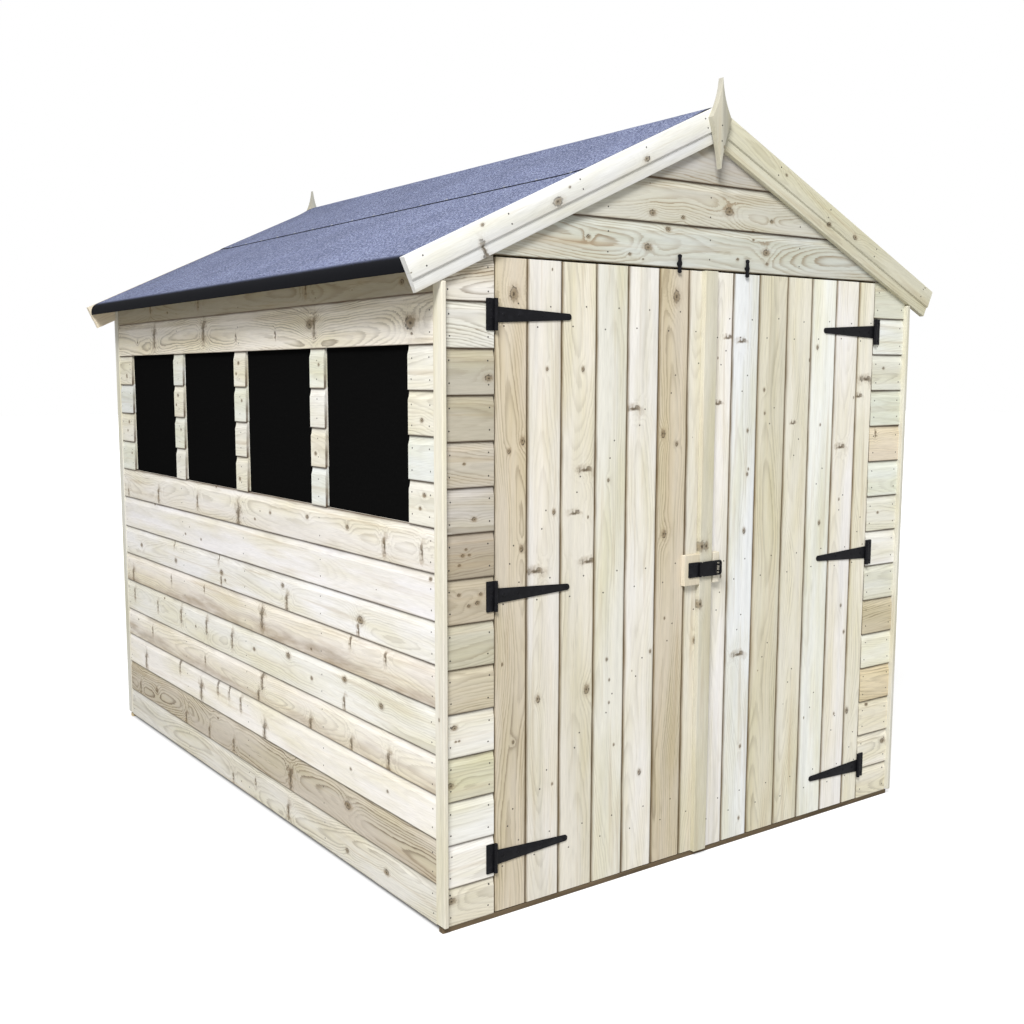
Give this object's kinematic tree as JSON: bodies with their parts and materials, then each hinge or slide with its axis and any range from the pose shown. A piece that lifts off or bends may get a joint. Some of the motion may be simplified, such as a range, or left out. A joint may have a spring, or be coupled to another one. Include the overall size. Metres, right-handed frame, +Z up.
{
  "type": "wooden garden shed",
  "caption": "Apex garden shed of pale shiplap boards with double ledged doors, side windows, felted roof, barge boards and finials.",
  "frame": {"origin": "on the ground, under the middle of the floor", "axes": "+X to the right along the door front, +Y from the doors to the back wall, +Z up"},
  "size_m": [2.047, 2.516, 2.2529],
  "materials": {
    "wall_boards": "planed, pressure treated",
    "door_boards": "planed, pressure treated",
    "trim_pine": "planed, pressure treated",
    "framing_pine": "rough sawn",
    "ledge_pine": "planed",
    "roof_felt": "mineral surfaced bitumen felt",
    "black_iron": "black powder coat",
    "window_glass": "clear sheet with the dark room behind it"
  },
  "bodies": {
    "shed": {"floor_bearers": "framing_pine", "floor_boards": "framing_pine", "front_stub_left": "wall_boards", "front_stub_right": "wall_boards", "front_gable": "wall_boards", "back_wall": "wall_boards", "left_wall_lower": "wall_boards", "left_wall_upper": "wall_boards", "left_window_piers": "wall_boards", "right_wall": "wall_boards", "window_glass": "window_glass", "side_wall_rails": "framing_pine", "side_wall_studs": "framing_pine", "end_wall_rails": "framing_pine", "end_wall_studs": "framing_pine", "gable_rafters": "framing_pine", "roof_purlins": "framing_pine", "roof_boards_left": "framing_pine", "roof_boards_right": "framing_pine", "eaves_battens": "framing_pine", "roof_felt_left": "roof_felt", "roof_felt_right": "roof_felt", "ridge_felt": "roof_felt", "barge_boards_left": "trim_pine", "barge_boards_right": "trim_pine", "finials": "trim_pine", "corner_trims": "trim_pine", "hinge_plates": "black_iron", "turn_button_screws": "black_iron"},
    "left_door": {"left_door_boards": "door_boards", "left_door_ledges": "ledge_pine", "left_door_braces": "ledge_pine", "left_door_straps": "black_iron", "door_cover_strip": "trim_pine", "left_latch_block": "trim_pine", "latch_plate": "black_iron"},
    "right_door": {"right_door_boards": "door_boards", "right_door_ledges": "ledge_pine", "right_door_braces": "ledge_pine", "right_door_straps": "black_iron", "right_latch_block": "trim_pine", "latch_staple": "black_iron"},
    "latch": {"latch_flap": "black_iron"},
    "left_button": {"turn_button_left": "black_iron"},
    "right_button": {"turn_button_right": "black_iron"}
  },
  "joints": [
    {"name": "left_door_hinge", "type": "hinge", "parent": "shed", "child": "left_door", "pos_m": [-0.7485, -1.226, 0.9], "axis": [0, 0, -1], "range_deg": [0, 110]},
    {"name": "right_door_hinge", "type": "hinge", "parent": "shed", "child": "right_door", "pos_m": [0.7485, -1.226, 0.9], "axis": [0, 0, 1], "range_deg": [0, 110]},
    {"name": "latch_hinge", "type": "hinge", "parent": "left_door", "child": "latch", "pos_m": [-0.031, -1.2425, 0.875], "axis": [0, 0, -1], "range_deg": [0, 150]},
    {"name": "left_button_turn", "type": "hinge", "parent": "shed", "child": "left_button", "pos_m": [-0.122, -1.22, 1.743], "axis": [0, 1, 0], "range_deg": [0, 90]},
    {"name": "right_button_turn", "type": "hinge", "parent": "shed", "child": "right_button", "pos_m": [0.149, -1.22, 1.743], "axis": [0, -1, 0], "range_deg": [0, 90]}
  ]
}
